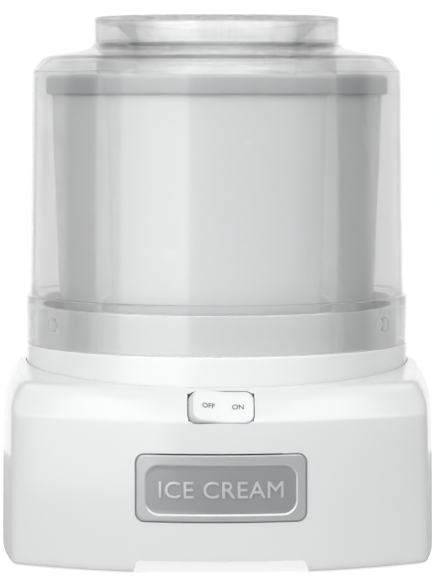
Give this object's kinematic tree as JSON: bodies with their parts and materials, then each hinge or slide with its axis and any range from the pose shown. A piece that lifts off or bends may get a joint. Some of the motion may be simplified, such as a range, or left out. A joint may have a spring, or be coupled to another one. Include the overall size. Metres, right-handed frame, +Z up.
{
  "type": "ice cream maker",
  "caption": "Counter-top ice cream maker: white motor base with rocker switch, freezer bowl that turns on a geared drive, still mixing arm and clear lid with filling spout.",
  "frame": {"origin": "on the ground under the bowl's axis, which is the middle of the base to within 0.5 mm", "axes": "+Z up along the bowl's axis, -Y towards the side with the switch and plate, +X to the right seen from the front"},
  "size_m": [0.235, 0.2429, 0.2879],
  "materials": {
    "housing_white": "gloss moulded",
    "plate_silver": "satin silver paint",
    "bowl_white": "gloss moulded",
    "rim_grey": "satin moulded",
    "lid_clear": "clear, polished",
    "arm_white": "satin moulded",
    "liner_aluminium": "drawn and anodised",
    "coolant_blue": "frozen gel",
    "foot_rubber": "matt",
    "screw_steel": "zinc plated",
    "gear_nylon": "moulded",
    "gearbox_grey": "glass-filled, matt",
    "lamination_steel": "varnished",
    "coil_copper": "enamelled winding",
    "bracket_steel": "plated",
    "bearing_brass": "machined",
    "rotor_aluminium": "cast",
    "black_plastic": "matt"
  },
  "bodies": {
    "base": {"base_housing": "housing_white", "nameplate": "plate_silver", "bowl_well": "housing_white", "well_screw_1": "screw_steel", "well_screw_2": "screw_steel", "well_screw_3": "screw_steel", "well_screw_4": "screw_steel", "bottom_cover": "housing_white", "foot_front_left": "foot_rubber", "foot_front_right": "foot_rubber", "foot_rear_left": "foot_rubber", "foot_rear_right": "foot_rubber", "cover_screw_1": "screw_steel", "cover_screw_2": "screw_steel", "cover_screw_3": "screw_steel", "cover_screw_4": "screw_steel", "switch_body": "black_plastic", "cord_gland": "foot_rubber", "gearbox_case": "gearbox_grey", "gearbox_cover": "gearbox_grey", "gearbox_screw_1": "screw_steel", "gearbox_screw_2": "screw_steel", "gearbox_screw_3": "screw_steel", "gear_axle_1": "screw_steel", "gear_axle_2": "screw_steel", "output_bush": "bearing_brass", "shaft_seal": "foot_rubber", "motor_stator": "lamination_steel", "coil_bobbin": "black_plastic", "motor_coil": "coil_copper", "motor_bracket_upper": "bracket_steel", "motor_bracket_lower": "bracket_steel", "motor_bearing_upper": "bearing_brass", "motor_bearing_lower": "bearing_brass", "motor_bolt_1": "screw_steel", "motor_bolt_2": "screw_steel"},
    "power_rocker": {"power_rocker": "housing_white"},
    "drive_hub": {"output_shaft": "screw_steel", "output_gear": "gear_nylon", "drive_coupler": "gear_nylon"},
    "gear_2": {"compound_gear_2": "gear_nylon"},
    "gear_1": {"compound_gear_1": "gear_nylon"},
    "rotor": {"motor_shaft": "screw_steel", "motor_rotor": "rotor_aluminium", "motor_pinion": "bearing_brass", "cooling_fan": "black_plastic"},
    "mixing_arm": {"mixing_arm": "arm_white"},
    "lid": {"lid": "lid_clear", "lid_wall": "lid_clear"},
    "freezer_bowl": {"bowl_outer_shell": "bowl_white", "bowl_drive_socket": "gear_nylon", "coolant_fill_plug": "foot_rubber", "bowl_inner_liner": "liner_aluminium", "coolant_gel": "coolant_blue", "bowl_rim_ring": "rim_grey"}
  },
  "joints": [
    {"name": "bowl_lift", "type": "slide", "parent": "base", "child": "mixing_arm", "axis": [0, 0, 1], "range_m": [0, 0.15]},
    {"name": "lid_lift", "type": "slide", "parent": "mixing_arm", "child": "lid", "axis": [0, 0, 1], "range_m": [0, 0.18]},
    {"name": "bowl_spin", "type": "hinge", "parent": "mixing_arm", "child": "freezer_bowl", "pos_m": [0, 0, 0.1022], "axis": [0, 0, 1], "continuous": true},
    {"name": "drive_spin", "type": "hinge", "parent": "base", "child": "drive_hub", "pos_m": [0, 0, 0.0822], "axis": [0, 0, 1], "continuous": true},
    {"name": "gear_2_spin", "type": "hinge", "parent": "base", "child": "gear_2", "pos_m": [0, 0.0385, 0.0722], "axis": [0, 0, 1], "continuous": true},
    {"name": "gear_1_spin", "type": "hinge", "parent": "base", "child": "gear_1", "pos_m": [0.03375, 0.0385, 0.0622], "axis": [0, 0, 1], "continuous": true},
    {"name": "rotor_spin", "type": "hinge", "parent": "base", "child": "rotor", "pos_m": [0.03375, 0.00725, 0.0322], "axis": [0, 0, 1], "continuous": true},
    {"name": "power_switch", "type": "hinge", "parent": "base", "child": "power_rocker", "pos_m": [0, -0.10637, 0.08128], "axis": [0, 0.5358, 0.8443], "range_deg": [-14, 0]}
  ],
  "couplings": [
    {"joint": "drive_spin", "follows": "bowl_spin", "ratio": 1},
    {"joint": "gear_2_spin", "follows": "bowl_spin", "ratio": -3},
    {"joint": "gear_1_spin", "follows": "bowl_spin", "ratio": 10.5},
    {"joint": "rotor_spin", "follows": "bowl_spin", "ratio": -42}
  ]
}
